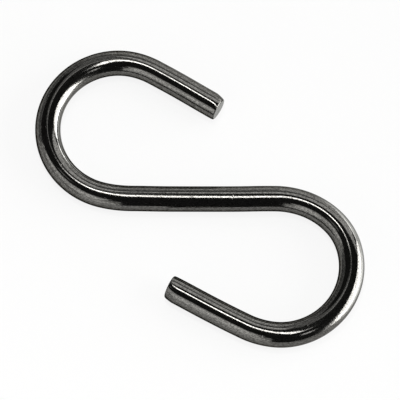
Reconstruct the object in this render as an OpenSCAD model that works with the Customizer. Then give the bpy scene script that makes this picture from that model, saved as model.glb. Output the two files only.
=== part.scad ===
// S hook bent from one length of round bar, lying flat.
// +X runs along the shank, +Y towards the upper eye, +Z up.
// The origin is the middle of the hook's outline, on the surface it lies on.
// Each eye turns clockwise away from the shank: a lead, a shoulder, then the crown that carries
// the load. A straight tail leans back towards the shank and ends in a sheared face.
// Bend radii are to the bar's centreline.

/* [Bar] */
// Diameter of the round bar
bar_d = 6; // [4:0.1:8]
// Length of the straight shank between the two eyes
shank_l = 33.2; // [20:0.1:60]

/* [Upper eye] */
// Bend radius of the lead, where the bar leaves the shank
upper_lead_r = 30.3; // [18:0.1:45]
// Angle that the lead turns through
upper_lead_angle = 15; // [8:0.5:30]
// Bend radius of the shoulder, on the far side of the eye
upper_shoulder_r = 17; // [14:0.1:24]
// Angle that the shoulder turns through
upper_shoulder_angle = 77; // [40:0.5:100]
// Bend radius of the crown
upper_crown_r = 16.6; // [14:0.1:24]
// Angle by which the tail leans back towards the shank
upper_lean_angle = 31.1; // [10:0.1:35]
// Length of the straight tail
upper_tail_l = 17.8; // [12:0.1:22]

/* [Lower eye] */
// Bend radius of the lead, where the bar leaves the shank
lower_lead_r = 18.6; // [16:0.1:45]
// Angle that the lead turns through
lower_lead_angle = 46; // [20:0.5:60]
// Bend radius of the shoulder, on the far side of the eye
lower_shoulder_r = 14.5; // [12:0.1:24]
// Angle that the shoulder turns through
lower_shoulder_angle = 30; // [10:0.5:60]
// Bend radius of the crown
lower_crown_r = 16.9; // [14:0.1:24]
// Angle by which the tail leans back towards the shank
lower_lean_angle = 28.4; // [10:0.1:32]
// Length of the straight tail
lower_tail_l = 20; // [12:0.1:23]

/* [Sheared ends] */
// Depth that the shear blade pressed into the outer side of each end
droop = 0.65; // [0.3:0.05:1]
// Radius of the curve that the pressed side follows
droop_r = 5.5; // [3:0.1:9]
// Angle at which that curve leaves the straight bar
droop_angle = 3; // [2:0.5:6]
// Rounding of the rim round each end face
rim_r = 0.25; // [0.1:0.05:0.4]

/* [Hidden] */
$fn = 96;
quarter_turn = 90;
half_turn = 180;
full_turn = 360;

// Lengths and angles are held to a thousandth, and moves and turns to far finer than that, so
// that each bend meets the next one face to face and the hook is one unbroken solid
places = 3;
vector_places = 6;
// How far each bend runs on past its joints, so that a mesh of the hook closes there as well
hair_angle = 1e-7;
// How many thousandths of a degree to each side a tail's direction may be moved to
clean_steps = 30;
function held(v, decimals = places) = round(v * pow(10, decimals)) / pow(10, decimals);
// The unit vector at angle a, as six decimals give it
function written(a) = [held(cos(a), vector_places), held(sin(a), vector_places)];
// Of the held angles next to a, the one whose written vector is nearest to a length of 1, so that
// a tail turned by it is no thicker or thinner than the crown it leaves
function clean(a) = let (
    choices = [for (k = [-clean_steps : clean_steps]) held(a + k / pow(10, places))],
    errors = [for (c = choices) abs(norm(written(c)) - 1)]
) choices[search(min(errors), errors)[0]];
bar_r = held(bar_d / 2);
rim = held(rim_r);
half_shank = held(shank_l / 2);
upper_tail = held(upper_tail_l);
lower_tail = held(lower_tail_l);

// Bends of each eye in order from the shank, as [radius, angle]
upper_bends = [
    [held(upper_lead_r), held(upper_lead_angle)],
    [held(upper_shoulder_r), held(upper_shoulder_angle)],
    [held(upper_crown_r), clean(half_turn + upper_lean_angle) - held(upper_lead_angle) - held(upper_shoulder_angle)]
];
lower_bends = [
    [held(lower_lead_r), held(lower_lead_angle)],
    [held(lower_shoulder_r), held(lower_shoulder_angle)],
    [held(lower_crown_r), clean(half_turn + lower_lean_angle) - held(lower_lead_angle) - held(lower_shoulder_angle)]
];

// An eye's own frame starts at the end of the shank, with the bar heading along +X.
// How far the bar has turned where bend i starts
function turned(bends, i) = i == 0 ? 0 : turned(bends, i - 1) + bends[i - 1][1];
// Unit vector from a bend's centre to the bar, where the bar has turned by angle a
function outward(a) = [sin(a), cos(a), 0];
// Centre of bend i, on the line through its joint with the bend before it
function centre(bends, i) = i == 0
    ? [0, -bends[0][0], 0]
    : centre(bends, i - 1) + (bends[i - 1][0] - bends[i][0]) * outward(turned(bends, i));
// Point of bend i's outer edge where the bar has turned by a, or as near to a as the bend goes
function edge(bends, i, a) = centre(bends, i)
    + (bends[i][0] + bar_r) * outward(max(turned(bends, i), min(a, turned(bends, i + 1))));
// How far an eye reaches along the shank, and how far to the side of it
function reach(bends) = max([for (i = [0 : len(bends) - 1]) edge(bends, i, quarter_turn).x]);
function rise(bends) = max([for (i = [0 : len(bends) - 1]) -edge(bends, i, half_turn).y]);

// Middle of the shank, seen from the middle of the outline
shank_x = (reach(upper_bends) - reach(lower_bends)) / 2;
shank_y = (rise(lower_bends) - rise(upper_bends)) / 2;

// Angle of the pressed curve at the end face, and its axis, seen from where the bar's own axis
// meets that face
droop_end = acos(cos(droop_angle) - droop / droop_r);
droop_axis = [-droop_r * sin(droop_end), bar_r - droop_r * cos(droop_angle)];

// Moves by v in a coarse step and the rest of the way in a fine one
module move(v) {
    coarse = [for (n = v) held(n)];
    translate(coarse) translate(v - coarse) children();
}

// Turns in the plane of the hook by the written vector of angle a, then by what it lost of a
module turn(a) {
    lost = a - atan2(written(a).y, written(a).x);
    multmatrix([[written(a).x, -written(a).y], [written(a).y, written(a).x]])
        rotate(lost - full_turn * round(lost / full_turn)) children();
}

// One bend of round bar, in its eye's frame
module bend(bends, i) {
    move(centre(bends, i))
        rotate_extrude(angle = bends[i][1] + 2 * hair_angle,
                       start = quarter_turn - turned(bends, i + 1) - hair_angle)
            translate([bends[i][0], 0]) circle(bar_r);
}

// Half the section of a straight bar of length l, with a rounded rim at its far end
module bar_profile(l) {
    square([bar_r, l - rim]);
    square([bar_r - rim, l]);
    translate([bar_r - rim, l - rim]) circle(rim);
}

// What the shear blade pressed away: the end face is at the origin and the outer side at +Y.
// The block starts over the curve's axis, clear of the bar, and its underside lies in the curve.
module pressed_side() {
    difference() {
        translate([droop_axis.x, bar_r - 2 * droop, -bar_d]) cube([bar_r - droop_axis.x, bar_d, 2 * bar_d]);
        translate([droop_axis.x, droop_axis.y, -bar_d]) cylinder(h = 2 * bar_d, r = droop_r);
    }
}

// Straight tail of length l, from the origin along +X to its sheared face
module tail(l) {
    difference() {
        rotate([quarter_turn, 0, quarter_turn]) rotate_extrude() bar_profile(l);
        translate([l, 0, 0]) pressed_side();
    }
}

// An eye and its tail of length l, in the eye's frame
module eye(bends, l) {
    crown = len(bends) - 1;
    total = turned(bends, len(bends));
    for (i = [0 : crown]) bend(bends, i);
    move(centre(bends, crown) + bends[crown][0] * outward(total)) turn(-total) tail(l);
}

module hook() {
    color("#8f8f8c") translate([shank_x, shank_y, bar_r]) {
        translate([-half_shank, 0, 0]) rotate([0, quarter_turn, 0]) cylinder(h = 2 * half_shank, r = bar_r);
        move([half_shank, 0, 0]) eye(lower_bends, lower_tail);
        rotate(half_turn) move([half_shank, 0, 0]) eye(upper_bends, upper_tail);
    }
}

hook();
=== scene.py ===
"""Visual model of an S hook bent from round bar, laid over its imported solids.

Lengths are in millimetres in the classes below and in metres in every mesh, lamp and camera.
"""

import logging
import math
from dataclasses import dataclass
from enum import Enum

import bpy
import numpy as np
from mathutils import Matrix, Vector


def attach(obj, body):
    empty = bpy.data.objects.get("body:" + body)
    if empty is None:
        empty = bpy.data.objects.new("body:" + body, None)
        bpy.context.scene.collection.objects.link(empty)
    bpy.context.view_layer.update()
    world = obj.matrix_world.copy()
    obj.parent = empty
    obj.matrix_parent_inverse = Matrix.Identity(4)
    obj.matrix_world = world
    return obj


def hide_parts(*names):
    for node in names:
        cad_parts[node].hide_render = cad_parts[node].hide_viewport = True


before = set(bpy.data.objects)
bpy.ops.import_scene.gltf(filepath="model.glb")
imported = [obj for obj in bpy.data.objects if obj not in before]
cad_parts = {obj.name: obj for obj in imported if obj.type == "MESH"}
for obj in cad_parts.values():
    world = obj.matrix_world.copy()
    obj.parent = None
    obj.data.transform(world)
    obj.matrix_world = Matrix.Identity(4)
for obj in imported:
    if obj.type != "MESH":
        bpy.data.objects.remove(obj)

LOG = logging.getLogger("s_hook")
MM = 0.001
MICROMETRE = 1e-6
MIX_SHARE, MIX_A, MIX_B, MIX_COLOUR = 0, 6, 7, 2  # a Mix node's sockets when it mixes colours
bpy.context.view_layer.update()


def linear(hex_colour: str) -> tuple[float, float, float, float]:
    """Turns an sRGB hex colour to the linear colour that shaders take.

    Args:
        hex_colour: Colour such as "#5a5a58".

    Returns:
        Linear red, green and blue, and an alpha of 1.
    """
    srgb = [int(hex_colour[i:i + 2], 16) / 255 for i in (1, 3, 5)]
    rgb = [c / 12.92 if c <= 0.04045 else ((c + 0.055) / 1.055) ** 2.4 for c in srgb]
    return (*rgb, 1.0)


def add_node(tree: bpy.types.NodeTree, kind: str, inputs: dict | None = None,
             **settings: object) -> bpy.types.Node:
    """Adds one node to a tree, with its settings, its constants and its links.

    Args:
        tree: Node tree that the node goes into.
        kind: Type name of the node.
        inputs: Value, or the output socket to link from, by input name or number.
        settings: Attributes of the node itself.

    Returns:
        The new node.
    """
    node = tree.nodes.new(kind)
    for name, value in settings.items():
        setattr(node, name, value)
    for key, value in (inputs or {}).items():
        if isinstance(value, bpy.types.NodeSocket):
            tree.links.new(value, node.inputs[key])
        else:
            node.inputs[key].default_value = value
    return node


def new_tree(name: str) -> tuple[bpy.types.Material, bpy.types.NodeTree]:
    """Makes a material with an empty node tree.

    Args:
        name: Name of the material.

    Returns:
        The material and its tree.
    """
    material = bpy.data.materials.new(name)
    material.use_nodes = True
    material.node_tree.nodes.clear()
    return material, material.node_tree


@dataclass(frozen=True)
class Bend:
    """One bend of the bar, at a constant radius to its centreline."""

    radius: float
    angle: float


@dataclass(frozen=True)
class Eye:
    """One eye: its bends in order from the shank, and its straight tail."""

    bends: tuple[Bend, ...]
    tail: float


@dataclass(frozen=True)
class Kink:
    """A place where the bender left the bar a little off its line, to the left of its heading."""

    at: float
    aside: float
    spread: float


@dataclass(frozen=True)
class CentreLine:
    """The line that the middle of the bar follows, from the upper tip to the lower one.

    It is a chain of pieces of constant curvature, so the heading is a straight function of the
    distance along each piece and the place is that heading's integral in closed form. The middle
    of its outline is found from outline_samples places along it.
    """

    upper: Eye = Eye((Bend(30.3, 15), Bend(17, 77), Bend(16.6, 119.117)), tail=17.8)
    lower: Eye = Eye((Bend(18.6, 46), Bend(14.5, 30), Bend(16.9, 132.385)), tail=20)
    shank: float = 33.2
    kinks: tuple[Kink, ...] = (
        Kink(11.5, -0.09, 4.5),
        Kink(20, 0.06, 3),
        Kink(55, 0.12, 22),
        Kink(83, 0.11, 3.5),
        Kink(114, 0.11, 3.5),
        Kink(126, 0.08, 6),
        Kink(174.5, -0.17, 3.8),
        Kink(196, -0.13, 4),
    )
    outline_samples: int = 20001
    ease: float = 1.0

    def pieces(self) -> np.ndarray:
        """Lists the pieces of the line, upper tip first.

        Returns:
            A row for each piece: its length, and its curvature, positive to the left.
        """
        rows = [(self.upper.tail, 0.0)]
        rows += [(b.radius * math.radians(b.angle), 1 / b.radius) for b in reversed(self.upper.bends)]
        rows += [(self.shank, 0.0)]
        rows += [(b.radius * math.radians(b.angle), -1 / b.radius) for b in self.lower.bends]
        rows += [(self.lower.tail, 0.0)]
        return np.array(rows)

    def length(self) -> float:
        """Gives the bar's length before it was bent."""
        return float(self.pieces()[:, 0].sum())

    def walk(self, s: np.ndarray) -> tuple[np.ndarray, np.ndarray]:
        """Walks along the line from an upper tip at the origin.

        In a piece of curvature k that starts at heading h, the place moves by
        ((sin(h + k d) - sin h) / k, (cos h - cos(h + k d)) / k) over a distance d, and by
        d (cos h, sin h) where k is 0.

        Args:
            s: Distances from the upper tip.

        Returns:
            Places, two to a row, and headings.
        """
        length, curve = self.pieces().T
        start = np.concatenate([[0.0], np.cumsum(length)[:-1]])
        turn = np.radians(sum(b.angle for b in self.upper.bends))
        heading = 2 * np.pi - turn + np.concatenate([[0.0], np.cumsum(length * curve)[:-1]])

        def moved(h: np.ndarray, k: np.ndarray, d: np.ndarray) -> np.ndarray:
            """Gives how far the line goes over a distance, as the formula above says.

            Args:
                h: Headings at the start.
                k: Curvatures.
                d: Distances.

            Returns:
                Moves, two numbers to a row.
            """
            safe = np.where(k == 0, 1.0, k)
            bent = np.stack([np.sin(h + k * d) - np.sin(h), np.cos(h) - np.cos(h + k * d)], -1)
            straight = np.stack([np.cos(h), np.sin(h)], -1) * d[:, None]
            return np.where(k[:, None] == 0, straight, bent / safe[:, None])

        steps = moved(heading, curve, length)
        corner = np.concatenate([[[0.0, 0.0]], np.cumsum(steps, 0)[:-1]])
        i = np.clip(np.searchsorted(start, s, side="right") - 1, 0, len(start) - 1)
        d = s - start[i]
        return corner[i] + moved(heading[i], curve[i], d), heading[i] + curve[i] * d

    def at(self, s: np.ndarray) -> tuple[np.ndarray, np.ndarray]:
        """Gives places and headings with the middle of the outline at the origin.

        Each kink moves the line aside by its own height times exp(-(distance / spread)^2 / 2), and
        the heading turns by the arc tangent of the slope of their sum.

        Args:
            s: Distances from the upper tip.

        Returns:
            Places, two to a row, and headings.
        """
        every, _ = self.walk(np.linspace(0, self.length(), self.outline_samples))
        place, heading = self.walk(s)
        at, aside, spread = np.array([(k.at, k.aside, k.spread) for k in self.kinks]).T
        off = (s[:, None] - at) / spread
        bump = aside * np.exp(-off ** 2 / 2)
        left = np.stack([-np.sin(heading), np.cos(heading)], -1)
        place = place - (every.min(0) + every.max(0)) / 2 + left * bump.sum(1)[:, None]
        return place, heading + np.arctan((-bump * off / spread).sum(1))

    def curvature(self, s: np.ndarray) -> np.ndarray:
        """Works out the curvature of the line, eased where two pieces meet.

        It goes from one piece's curvature to the next one's as (1 + tanh(distance / ease)) / 2.

        Args:
            s: Distances from the upper tip.

        Returns:
            Curvatures, positive to the left.
        """
        length, curve = self.pieces().T
        ends = np.cumsum(length)[:-1]
        return curve[0] + (np.diff(curve) * (1 + np.tanh((s[:, None] - ends) / self.ease)) / 2).sum(1)


@dataclass(frozen=True)
class DrawnSteel:
    """Stainless steel bar, cold drawn through a die and then polished.

    The die leaves fine lines along the bar. Its edge tint is dark, painted shade where the bar turns
    away, so that its edges are dark. Polishing leaves it close to a mirror with a few pits. Where a
    bending tool scuffed the strained skin it is wrinkled across the bar. In some stretches of one side
    the edge tint is pale, a painted gleam, and in others the colour is paler, a painted sheen.

    A pattern's cells are counted to a millimetre along, across and up the bar. The lines are
    0.25 mm apart and the grain is 0.15 mm wide, about ten times the real size, because finer ones
    don't show. A range says at which values of a pattern its effect is none and full. Heights are
    in micrometres.
    """

    name: str = "stainless_steel_drawn_polished"
    colour: str = "#71706d"
    grain_colour: str = "#434240"
    line_colour: str = "#474541"
    # Paler colour laid in a few stretches, a painted sheen.
    painted_sheen_colour: str = "#a0a09d"
    # Dark edge tint, painted shade at the bar's edges, and the pale edge tint of a painted gleam.
    painted_shade_edge_colour: str = "#5a5a58"
    pressed_edge_colour: str = "#dcdcda"
    roughness: float = 0.08
    scuffed_roughness: float = 0.25
    line_cells: tuple[float, float, float] = (0.015, 4.0, 4.0)
    line_detail: float = 4.0
    line_range: tuple[float, float] = (0.58, 0.72)
    line_height: float = 0.8
    grain_cells: tuple[float, float, float] = (2.4, 7.0, 7.0)
    grain_detail: float = 2.0
    grain_range: tuple[float, float] = (0.34, 0.66)
    wrinkle_cells: tuple[float, float, float] = (3.0, 1.2, 1.2)
    wrinkle_detail: float = 2.0
    wrinkle_height: float = 45.0
    pit_cells: float = 0.7
    pit_range: tuple[float, float] = (0.12, 0.03)
    pit_choice: tuple[float, float] = (0.58, 0.66)
    pit_height: float = -12.0

    def make(self) -> bpy.types.Material:
        """Makes the material.

        The grain, the lines and the paler stripes of painted sheen are laid over one another in that
        order, and the reliefs of the lines, the wrinkles and the pits are added up. The edge tint is
        dark, painted shade at the edges, and pale where the painted gleam is.

        Returns:
            The finished material.
        """
        material, tree = new_tree(self.name)
        # pressed is the share of painted gleam on the edge tint, and burnished the share of painted
        # sheen.
        bar, scuffed, pressed, painted_sheen = (
            add_node(tree, "ShaderNodeAttribute", attribute_name=name).outputs[output]
            for name, output in (
                ("straight_bar", "Vector"),
                ("scuffed", "Fac"),
                ("pressed", "Fac"),
                ("painted_sheen", "Fac")))
        lines, grain, wrinkles = (
            add_node(tree, "ShaderNodeTexNoise", {
                "Vector": add_node(tree, "ShaderNodeMapping", {"Vector": bar, "Scale": cells}).outputs[0],
                "Scale": 1.0,
                "Detail": detail,
            }).outputs[0]
            for cells, detail in (
                (self.line_cells, self.line_detail),
                (self.grain_cells, self.grain_detail),
                (self.wrinkle_cells, self.wrinkle_detail)))
        pit = add_node(tree, "ShaderNodeTexVoronoi", {"Vector": bar, "Scale": self.pit_cells})
        bright, lined, near, chosen = (
            add_node(tree, "ShaderNodeMapRange", {
                "Value": pattern,
                "From Min": none,
                "From Max": full,
                "To Min": 0.0,
                "To Max": 1.0,
            }, interpolation_type="SMOOTHSTEP").outputs[0]
            for pattern, (none, full) in (
                (grain, self.grain_range),
                (lines, self.line_range),
                (pit.outputs["Distance"], self.pit_range),
                (pit.outputs["Color"], self.pit_choice)))
        pits, rucks = (
            add_node(tree, "ShaderNodeMath", {0: pattern, 1: share}, operation="MULTIPLY").outputs[0]
            for pattern, share in ((near, chosen), (wrinkles, scuffed)))
        # The last layer is a paler colour in a few stretches, a painted sheen.
        colour = linear(self.grain_colour)
        for share, over in (
                (bright, self.colour),
                (lined, self.line_colour),
                (painted_sheen, self.painted_sheen_colour)):
            colour = add_node(tree, "ShaderNodeMix", {
                MIX_SHARE: share,
                MIX_A: colour,
                MIX_B: linear(over),
            }, data_type="RGBA").outputs[MIX_COLOUR]
        # Edge tint: dark, painting shade at the bar's edges, and pale where the painted gleam is laid.
        edge = add_node(tree, "ShaderNodeMix", {
            MIX_SHARE: pressed,
            MIX_A: linear(self.painted_shade_edge_colour),
            MIX_B: linear(self.pressed_edge_colour),
        }, data_type="RGBA").outputs[MIX_COLOUR]
        dull = add_node(tree, "ShaderNodeMapRange", {
            "Value": scuffed,
            "From Min": 0.0,
            "From Max": 1.0,
            "To Min": self.roughness,
            "To Max": self.scuffed_roughness,
        }).outputs[0]
        relief = add_node(tree, "ShaderNodeNewGeometry").outputs["Normal"]
        for height, micrometres in (
                (lines, self.line_height),
                (rucks, self.wrinkle_height),
                (pits, self.pit_height)):
            relief = add_node(tree, "ShaderNodeBump", {
                "Strength": 1.0,
                "Distance": micrometres * MICROMETRE,
                "Height": height,
                "Normal": relief,
            }).outputs[0]
        shader = add_node(tree, "ShaderNodeBsdfPrincipled", {
            "Base Color": colour,
            "Metallic": 1.0,
            "Roughness": dull,
            "Specular Tint": edge,
            "Normal": relief,
        })
        add_node(tree, "ShaderNodeOutputMaterial", {"Surface": shader.outputs[0]})
        return material


@dataclass(frozen=True)
class ShearedSteel:
    """The face that a shear blade leaves on stainless bar.

    The blade rubs the side that it enters smooth and bright and the rest tears away, so the face
    runs from bright to a dull grain with streaks the way that the blade went. Cells, range and height
    are given as for the drawn bar.
    """

    name: str = "stainless_steel_sheared"
    colour: str = "#8a8a87"
    torn_colour: str = "#6a6a66"
    roughness: float = 0.3
    torn_roughness: float = 0.5
    streak_cells: tuple[float, float, float] = (0.0, 0.5, 3.0)
    streak_detail: float = 3.0
    grain_cells: float = 3.5
    grain_detail: float = 4.0
    torn_range: tuple[float, float] = (0.8, 1.15)
    height: float = 100.0
    relief: float = 0.5

    def make(self) -> bpy.types.Material:
        """Makes the material.

        Returns:
            The finished material.
        """
        material, tree = new_tree(self.name)
        bar = add_node(tree, "ShaderNodeAttribute", attribute_name="straight_bar").outputs["Vector"]
        streaked = add_node(tree, "ShaderNodeMapping", {"Vector": bar, "Scale": self.streak_cells})
        streaks = add_node(tree, "ShaderNodeTexNoise", {
            "Vector": streaked.outputs[0], "Scale": 1.0, "Detail": self.streak_detail})
        grain = add_node(tree, "ShaderNodeTexNoise", {
            "Vector": bar, "Scale": self.grain_cells, "Detail": self.grain_detail})
        both = add_node(tree, "ShaderNodeMath", {
            0: streaks.outputs[0], 1: grain.outputs[0]}, operation="ADD").outputs[0]
        none, full = self.torn_range
        torn = add_node(tree, "ShaderNodeMapRange", {
            "Value": both, "From Min": none, "From Max": full, "To Min": 0.0, "To Max": 1.0}).outputs[0]
        colour = add_node(tree, "ShaderNodeMix", {
            MIX_SHARE: torn,
            MIX_A: linear(self.colour),
            MIX_B: linear(self.torn_colour),
        }, data_type="RGBA").outputs[MIX_COLOUR]
        dull = add_node(tree, "ShaderNodeMapRange", {
            "Value": torn,
            "From Min": 0.0,
            "From Max": 1.0,
            "To Min": self.roughness,
            "To Max": self.torn_roughness,
        }).outputs[0]
        bump = add_node(tree, "ShaderNodeBump", {
            "Strength": self.relief, "Distance": self.height * MICROMETRE, "Height": both})
        shader = add_node(tree, "ShaderNodeBsdfPrincipled", {
            "Base Color": colour,
            "Metallic": 1.0,
            "Roughness": dull,
            "Normal": bump.outputs[0],
        })
        add_node(tree, "ShaderNodeOutputMaterial", {"Surface": shader.outputs[0]})
        return material


@dataclass(frozen=True)
class Nick:
    """A small dent in the skin, by its distance from the upper tip and its angle round the bar."""

    at: float
    angle: float
    along: float
    across: float
    depth: float


@dataclass(frozen=True)
class Scuff:
    """A stretch of the bar where a bending tool rubbed it, from its middle to about its spread."""

    at: float
    spread: float
    strength: float


@dataclass(frozen=True)
class SideStretch:
    """A stretch along one side of the bar, where a gleam or a sheen is painted.

    side is the angle round the bar of its middle, 0 on the left of the heading, 90 on top and 180
    on the right, and angle is how far it spreads to each side of that.
    """

    at: float
    spread: float
    side: float
    angle: float

    def share(self, s: np.ndarray, angle: np.ndarray) -> np.ndarray:
        """Gives exp(-(distance / spread)^4 - (angle from its side / angle)^4)."""
        turned = (angle - self.side + 180) % 360 - 180
        return np.exp(-((s - self.at) / self.spread) ** 4 - (turned / self.angle) ** 4)


@dataclass
class HookBar:
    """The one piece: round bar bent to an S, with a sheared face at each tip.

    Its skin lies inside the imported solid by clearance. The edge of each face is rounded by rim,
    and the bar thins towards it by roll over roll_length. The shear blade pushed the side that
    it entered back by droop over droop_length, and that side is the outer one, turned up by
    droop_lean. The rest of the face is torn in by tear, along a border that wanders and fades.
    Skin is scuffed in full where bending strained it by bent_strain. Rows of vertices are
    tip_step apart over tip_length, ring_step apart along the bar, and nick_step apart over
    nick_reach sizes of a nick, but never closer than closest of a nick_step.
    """

    line: CentreLine = CentreLine()
    nicks: tuple[Nick, ...] = (
        Nick(106.2, 96, 0.1, 0.45, 0.012),
        Nick(173.3, 60, 0.1, 0.8, 0.025),
        Nick(47.5, 118, 0.16, 0.25, 0.03),
        Nick(62, 52, 0.2, 0.15, 0.02),
        Nick(163, 92, 0.3, 0.14, 0.02),
        Nick(197.4, 150, 0.22, 0.35, 0.09),
    )
    scuffs: tuple[Scuff, ...] = (
        Scuff(100, 200, 0.06),
        Scuff(36, 5, 0.9),
        Scuff(157, 6, 0.9),
        Scuff(122, 5, 0.3),
    )
    # Stretches where the edge tint is pale, a painted gleam.
    gleam_stretches: tuple[SideStretch, ...] = (
        SideStretch(6, 14, 180, 50),
        SideStretch(49, 13, 0, 50),
        SideStretch(143, 28, 0, 50),
    )
    # Stretches of paler colour, a painted sheen.
    sheen_stretches: tuple[SideStretch, ...] = (
        SideStretch(49, 8, 40.5, 8.5),
        SideStretch(63, 6, 46.5, 6.5),
        SideStretch(132, 5.5, 45, 8),
        SideStretch(144, 9.5, 32, 10),
    )
    radius: float = 3.0
    clearance: float = 0.006
    rim: float = 0.26
    roll: float = 0.10
    roll_length: float = 1.0
    droop: float = 0.52
    droop_length: float = 2.3
    droop_lean: float = 14.0
    droop_power: float = 1.3
    tear: float = 0.12
    tear_wander: float = 0.15
    tear_waves: float = 7.0
    tear_fade: float = 0.25
    bent_strain: float = 0.15
    tip_length: float = 3.0
    tip_step: float = 0.085
    ring_step: float = 0.28
    nick_step: float = 0.07
    nick_reach: float = 2.5
    closest: float = 0.6
    around: int = 96
    rim_rows: int = 7
    face_rows: int = 12

    def profile(self) -> tuple[np.ndarray, np.ndarray]:
        """Gives the rows of the surface: distances along the bar and shares of its radius.

        From the middle of the upper face the rows go out to its rim, round the rim by a quarter
        circle, along the bar, and in again over the lower face. Near a tip the bar thins by
        roll (1 - distance / roll_length)^2. Rows stand closer at the tips and at the nicks.

        Returns:
            Distances from the upper tip, and shares of the bar's radius.
        """
        length = self.line.length()
        turn = np.linspace(0, np.pi / 2, self.rim_rows)
        rim_s = self.rim * (1 - np.cos(turn))
        rim_r = 1 - self.rim / self.radius * (1 - np.sin(turn))
        face_r = np.linspace(0, rim_r[0], self.face_rows + 1)[:-1]
        tip = np.arange(self.rim, self.tip_length, self.tip_step)[1:]
        rows = int(round((length - 2 * self.tip_length) / self.ring_step))
        wall = np.linspace(self.tip_length, length - self.tip_length, rows + 1)
        near = np.concatenate([
            n.at + np.arange(-self.nick_reach * n.along, self.nick_reach * n.along, self.nick_step)
            for n in self.nicks])
        near = near[(near > self.tip_length) & (near < length - self.tip_length)]
        wall = np.sort(np.concatenate([wall, near]))
        wall = wall[np.concatenate([[True], np.diff(wall) > self.closest * self.nick_step])]
        wall = np.concatenate([tip, wall, length - tip[::-1]])
        s = np.concatenate([face_r * 0, rim_s, wall, length - rim_s[::-1], face_r * 0 + length])
        share = np.concatenate([face_r, rim_r, wall * 0 + 1, rim_r[::-1], face_r[::-1]])
        from_tip = np.minimum(s, length - s)
        thin = self.roll / self.radius * np.maximum(1 - from_tip / self.roll_length, 0) ** 2
        return s, share * (1 - thin)

    def finish(self, straight: np.ndarray) -> dict[str, np.ndarray]:
        """Works out how far the skin is scuffed, and its painted gleam and painted sheen, from 0 to 1.

        The scuffed share is the strain of bending over bent_strain, squared, times the sum of
        strength exp(-(distance / spread)^2 / 2). The others are the sums of their stretches' shares.

        Args:
            straight: Places on the bar before bending, in millimetres.

        Returns:
            The three shares, by name.
        """
        s, across, up = np.moveaxis(straight, -1, 0)
        strain = np.abs(self.line.curvature(s[:, 0]))[:, None] * np.abs(across) / self.bent_strain
        rubbed = sum(m.strength * np.exp(-((s - m.at) / m.spread) ** 2 / 2) for m in self.scuffs)
        angle = np.degrees(np.arctan2(up, across))
        return {
            "scuffed": np.clip(strain, 0, 1) ** 2 * np.clip(rubbed, 0, 1),
            "pressed": np.clip(sum(m.share(s, angle) for m in self.gleam_stretches), 0, 1),
            "painted_sheen": np.clip(sum(m.share(s, angle) for m in self.sheen_stretches), 0, 1),
        }

    def surface(self) -> tuple[np.ndarray, np.ndarray]:
        """Works out every vertex as a function of the row and of the angle round the bar.

        A point stands off the centreline by the radius times its row's share, along
        cos(a) times the normal in the plane plus sin(a) times +Z. The shear blade came down on the
        outer side, droop_lean above the plane. With c the place of a point across the section that
        way, from -1 to 1, it moves back by droop (1 - t / droop_length)^droop_power ((1 + c) / 2)^2
        at a distance t from the tip, but no lower than the floor. On the face itself the far half
        is torn in by tear, more in the middle than at the edge. Its border is where
        c = tear_wander sin(tear_waves w), with w the place across the blade's way, and it fades
        over tear_fade. A nick pushes the skin in by depth exp(-(x^2 + y^2)), with x and y the
        distances along and round the bar over its two sizes.

        Returns:
            Places in metres and places on the bar before bending in millimetres, each a row, a
            column and three numbers.
        """
        s, share = self.profile()
        place, heading = self.line.at(s)
        a = np.arange(self.around) * 2 * np.pi / self.around
        body = self.radius - self.clearance
        reach = body * share[:, None] * np.ones_like(a)
        for nick in self.nicks:
            x = (s[:, None] - nick.at) / nick.along
            y = self.radius * ((a - np.radians(nick.angle) + np.pi) % (2 * np.pi) - np.pi) / nick.across
            reach = reach - nick.depth * np.exp(-x ** 2 - y ** 2)
        across, up = reach * np.cos(a), reach * np.sin(a)
        straight = np.stack([np.broadcast_to(s[:, None], up.shape), across, up], -1)
        length = self.line.length()
        outer = np.where(s < length / 2, -1.0, 1.0)[:, None]
        lean = np.radians(self.droop_lean)
        c = (outer * np.cos(lean) * across + np.sin(lean) * up) / body
        t = np.minimum(s, length - s)[:, None]
        fall = np.maximum(1 - t / self.droop_length, 0) ** self.droop_power
        deep = self.droop * fall * ((1 + c) / 2) ** 2
        w = (outer * np.sin(lean) * across - np.cos(lean) * up) / body
        far = (1 + np.tanh((self.tear_wander * np.sin(self.tear_waves * w) - c) / self.tear_fade)) / 2
        middle = 1 - np.minimum(share[:, None] / share[self.face_rows], 1) ** 4
        torn = self.tear * far * middle * (t == 0)
        across = across - deep * outer * np.cos(lean)
        up = np.maximum(up - deep * np.sin(lean), -body)
        ahead = np.stack([np.cos(heading), np.sin(heading)], -1)[:, None, :]
        normal = np.stack([-np.sin(heading), np.cos(heading)], -1)[:, None, :]
        flat = place[:, None, :] + across[..., None] * normal - (outer * torn)[..., None] * ahead
        xyz = np.concatenate([flat, (up + self.radius)[..., None]], -1)
        return xyz * MM, straight

    def mesh(self) -> bpy.types.Mesh:
        """Puts the surface into a mesh, with one vertex for the first row and one for the last.

        Returns:
            A closed mesh with its faces outwards and its tips in the second material.
        """
        xyz, straight = self.surface()
        rows, n = xyz.shape[:2]
        inner = rows - 2

        def flat(grid: np.ndarray) -> np.ndarray:
            """Lists a grid's vertices row by row, with one for its first row and one for its last."""
            return np.concatenate([grid[0, :1], grid[1:-1].reshape(inner * n, -1), grid[-1, :1]])

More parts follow.
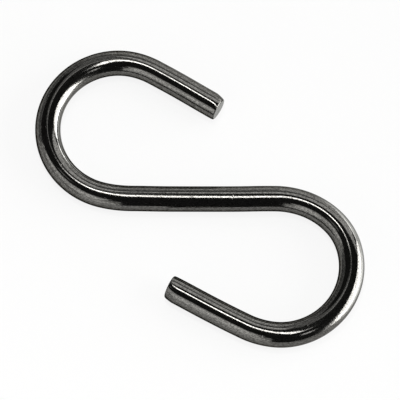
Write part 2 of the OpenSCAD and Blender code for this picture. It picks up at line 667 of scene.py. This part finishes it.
        vertices = flat(xyz)
        i, j = np.meshgrid(np.arange(inner - 1), np.arange(n), indexing="ij")
        k = (j + 1) % n
        quads = 1 + np.stack([i * n + j, i * n + k, (i + 1) * n + k, (i + 1) * n + j], -1).reshape(-1, 4)
        j = np.arange(n)
        k = (j + 1) % n
        last = len(vertices) - 1
        first_fan = np.stack([1 + k, 1 + j, 0 * j], -1)
        last_fan = np.stack([last - n + j, last - n + k, 0 * j + last], -1)
        mesh = bpy.data.meshes.new("hook_bar")
        mesh.from_pydata(vertices.tolist(), [], quads.tolist() + first_fan.tolist() + last_fan.tolist())
        face_row = np.concatenate([np.arange(len(quads)) // n, np.zeros(n, int), np.full(n, inner - 1)])
        tip = (face_row < self.face_rows - 1) | (face_row >= inner - self.face_rows)
        mesh.polygons.foreach_set("material_index", tip.astype(np.int32))
        mesh.polygons.foreach_set("use_smooth", np.ones(len(tip), bool))
        before = mesh.attributes.new("straight_bar", "FLOAT_VECTOR", "POINT")
        before.data.foreach_set("vector", flat(straight).astype(np.float32).ravel())
        for name, share in self.finish(straight).items():
            attribute = mesh.attributes.new(name, "FLOAT", "POINT")
            attribute.data.foreach_set("value", flat(share[..., None]).astype(np.float32).ravel())
        mesh.update()
        return mesh

    def build(self) -> bpy.types.Object:
        """Makes the piece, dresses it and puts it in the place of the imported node.

        Returns:
            The piece.
        """
        mesh = self.mesh()
        for finish in (DrawnSteel(), ShearedSteel()):
            mesh.materials.append(finish.make())
        piece = bpy.data.objects.new("hook_bar", mesh)
        bpy.context.scene.collection.objects.link(piece)
        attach(piece, "root")
        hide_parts("hook")
        return piece


class LampShape(Enum):
    """Outline of a studio lamp."""

    PANEL = "RECTANGLE"
    ROUND = "ELLIPSE"


@dataclass(frozen=True)
class Lamp:
    """A soft studio lamp, placed by where it stands over the hook.

    x and y are its place on a map of the sky, in degrees from the zenith towards +X and +Y. wide
    and tall are the angles that it fills as seen from the hook, and roll is the direction of its
    width on that map, in degrees from +X.
    """

    name: str
    x: float
    y: float
    wide: float
    tall: float
    roll: float
    radiance: float
    away: float = 2.4
    shape: LampShape = LampShape.PANEL

    def axes(self) -> Matrix:
        """Works out how the lamp stands.

        With z the zenith angle and a the azimuth, the outward direction is
        (sin z cos a, sin z sin a, cos z). A step on the map along the roll r turns that direction by
        cos(r - a) away from the zenith and by sin(r - a) sin(z) / z round it.

        Returns:
            The turn whose Z axis points away from the hook and whose X axis lies along the roll.
        """
        zenith = math.radians(math.hypot(self.x, self.y))
        azimuth = math.atan2(self.y, self.x)
        turn = math.radians(self.roll) - azimuth
        level = Vector((math.cos(azimuth), math.sin(azimuth), 0))
        up = Vector((0, 0, 1))
        out = level * math.sin(zenith) + up * math.cos(zenith)
        down = level * math.cos(zenith) - up * math.sin(zenith)
        aside = up.cross(level)
        round_share = float(np.sinc(zenith / math.pi))
        wide = (down * math.cos(turn) + aside * math.sin(turn) * round_share).normalized()
        return Matrix((wide, out.cross(wide), out)).transposed()

    def build(self) -> bpy.types.Object:
        """Makes the lamp, facing the hook.

        A flat lamp of area A that gives off the power P in every direction has a radiance of
        P / (pi A).

        Returns:
            The lamp.
        """
        lamp = bpy.data.lights.new(self.name, "AREA")
        lamp.shape = self.shape.value
        lamp.size, lamp.size_y = (
            2 * self.away * math.tan(math.radians(angle) / 2) for angle in (self.wide, self.tall))
        area = lamp.size * lamp.size_y * (math.pi / 4 if self.shape is LampShape.ROUND else 1.0)
        lamp.energy = self.radiance * math.pi * area
        piece = bpy.data.objects.new(self.name, lamp)
        bpy.context.scene.collection.objects.link(piece)
        axes = self.axes()
        piece.matrix_world = Matrix.Translation(axes.col[2] * self.away) @ axes.to_4x4()
        piece.visible_camera = False
        return piece


@dataclass(frozen=True)
class Flat:
    """An upright sheet of card that stands round part of the hook, given by its azimuths."""

    name: str
    start: float
    end: float
    height: float
    colour: str
    away: float = 2.6
    steps: int = 48

    def build(self) -> bpy.types.Object:
        """Makes the card as a part of an upright cylinder.

        Returns:
            The card.
        """
        a = np.radians(np.linspace(self.start, self.end, self.steps + 1))
        foot = np.stack([np.cos(a), np.sin(a), 0 * a], -1) * self.away
        i = np.arange(len(a) - 1)
        mesh = bpy.data.meshes.new(self.name)
        mesh.from_pydata(np.concatenate([foot, foot + [0, 0, self.height]]).tolist(), [],
                         np.stack([i, i + len(a), i + len(a) + 1, i + 1], -1).tolist())
        material, tree = new_tree(self.name)
        shader = add_node(tree, "ShaderNodeBsdfDiffuse", {"Color": linear(self.colour)})
        add_node(tree, "ShaderNodeOutputMaterial", {"Surface": shader.outputs[0]})
        mesh.materials.append(material)
        piece = bpy.data.objects.new(self.name, mesh)
        bpy.context.scene.collection.objects.link(piece)
        return piece


@dataclass
class Studio:
    """Plain pale floor with card flats round it, soft lamps and a dark room above."""

    floor_radius: float = 3.0
    floor_sides: int = 128
    floor_colour: str = "#4b4b4a"
    floor_roughness: float = 0.38
    background: float = 0.862
    room_colour: str = "#3a3a3a"
    flats: tuple[Flat, ...] = (
        Flat("flat_left", 172, 262, 1.75, "#eeeeed"),
        Flat("flat_far_left", 96, 172, 1.35, "#9c9c9c"),
        Flat("flat_back", 40, 96, 1.27, "#eeeeed"),
    )
    lamps: tuple[Lamp, ...] = (
        Lamp("strip_overhead", 1.1, -0.4, 30, 6.2, -60, 10.6),
        Lamp("strip_overhead_end", -4.6, 11, 11, 5.2, -60, 5.5),
        Lamp("strip_overhead_tail", -3.5, 20.5, 7, 4, -75, 1.0),
        Lamp("strip_overhead_side", 12.5, -9.5, 5, 4, -60, 1.6),
        Lamp("spot_front", 22.5, -36, 9.5, 8, -62, 2.6),
        Lamp("octabox_right", 84.9, -2, 68, 68, 0, 8.0, shape=LampShape.ROUND),
        Lamp("panel_right_front", 74, -42, 32, 32, 0, 2.2, shape=LampShape.ROUND),
        Lamp("strip_right_low", 82.5, -7, 13, 62, 0, 7),
        Lamp("panel_back", 26, 38.9, 50, 19.4, 0, 1.8),
        Lamp("panel_back_gap", 4, 58, 54, 11, 0, 0.45),
        Lamp("panel_back_mid", 32, 64, 20, 44, 65, 0.6),
        Lamp("panel_back_low", 8, 82, 50, 12, 180, 0.6),
        Lamp("panel_corner", 66, 62, 30, 20, 133, 3.3, shape=LampShape.ROUND),
        Lamp("panel_left_low", -49, -34.4, 62, 30, -50, 0.6),
        Lamp("panel_left_top", -41.5, -29.5, 60, 16, -47, 0.8),
        Lamp("panel_front", -36, -63, 28, 42, 0, 0.78),
        Lamp("card_left", -29, -6, 10, 10, 20, 0.39),
        Lamp("card_back", -8.5, 38, 13, 34, 5, 0.44),
    )

    def floor_material(self) -> bpy.types.Material:
        """Makes the satin white board of the floor.

        Seen straight on, or in the metal, part of its whiteness is its own, so that the background
        is white and the shadow on it stays faint.

        Returns:
            The material.
        """
        material, tree = new_tree("white_board")
        board = add_node(tree, "ShaderNodeBsdfPrincipled", {
            "Base Color": linear(self.floor_colour), "Roughness": self.floor_roughness})
        path = add_node(tree, "ShaderNodeLightPath")
        seen = path.outputs["Is Camera Ray"]
        for ray in ("Is Glossy Ray", "Is Transmission Ray"):
            seen = add_node(tree, "ShaderNodeMath", {
                0: seen, 1: path.outputs[ray]}, operation="MAXIMUM").outputs[0]
        share = add_node(tree, "ShaderNodeMath", {0: seen, 1: self.background}, operation="MULTIPLY")
        white = add_node(tree, "ShaderNodeEmission", {
            "Color": (1, 1, 1, 1), "Strength": share.outputs[0]})
        both = add_node(tree, "ShaderNodeAddShader", {0: board.outputs[0], 1: white.outputs[0]})
        add_node(tree, "ShaderNodeOutputMaterial", {"Surface": both.outputs[0]})
        return material

    def build(self) -> None:
        """Makes the floor, the flats, the lamps and the dark world."""
        a = np.radians(np.linspace(0, 360, self.floor_sides + 1)[:-1])
        rim = np.stack([np.cos(a), np.sin(a), 0 * a], -1) * self.floor_radius
        floor = bpy.data.meshes.new("floor")
        floor.from_pydata(rim.tolist(), [], [list(range(len(rim)))])
        floor.materials.append(self.floor_material())
        piece = bpy.data.objects.new("floor", floor)
        bpy.context.scene.collection.objects.link(piece)
        for part in (*self.flats, *self.lamps):
            part.build()
        world = bpy.data.worlds.new("studio")
        world.use_nodes = True
        world.node_tree.nodes.clear()
        sky = add_node(world.node_tree, "ShaderNodeBackground", {
            "Color": linear(self.room_colour), "Strength": 1.0})
        add_node(world.node_tree, "ShaderNodeOutputWorld", {"Surface": sky.outputs[0]})
        bpy.context.scene.world = world


@dataclass
class Camera:
    """A long lens that looks down on the lying hook, tilted back from the zenith."""

    look_at: tuple[float, float, float] = (0.32, -0.63, 3.0)
    elevation: float = 71.03
    distance: float = 935.0
    lens: float = 360.0
    sensor: float = 36.0

    def build(self) -> bpy.types.Object:
        """Makes the scene's camera.

        Returns:
            The camera.
        """
        data = bpy.data.cameras.new("camera")
        data.lens, data.sensor_width = self.lens, self.sensor
        camera = bpy.data.objects.new("camera", data)
        bpy.context.scene.collection.objects.link(camera)
        tilt = math.radians(self.elevation)
        back = Vector((0, -math.cos(tilt), math.sin(tilt)))
        place = (Vector(self.look_at) + back * self.distance) * MM
        turn = back.to_track_quat("Z", "Y").to_matrix().to_4x4()
        camera.matrix_world = Matrix.Translation(place) @ turn
        bpy.context.scene.camera = camera
        return camera


def main() -> None:
    """Builds the hook, its studio and the camera."""
    logging.basicConfig(level=logging.INFO, format="%(message)s")
    bar = HookBar()
    hook = bar.build()
    LOG.info("%s: %d faces, %.1f mm of bar", hook.name, len(hook.data.polygons), bar.line.length())
    studio = Studio()
    studio.build()
    LOG.info("studio: %d flats and %d lamps", len(studio.flats), len(studio.lamps))
    camera = Camera().build()
    LOG.info("%s: a lens of %.0f mm", camera.name, camera.data.lens)
    bpy.context.scene.view_settings.view_transform = "Standard"
    bpy.context.view_layer.update()


if __name__ == "__main__":
    main()
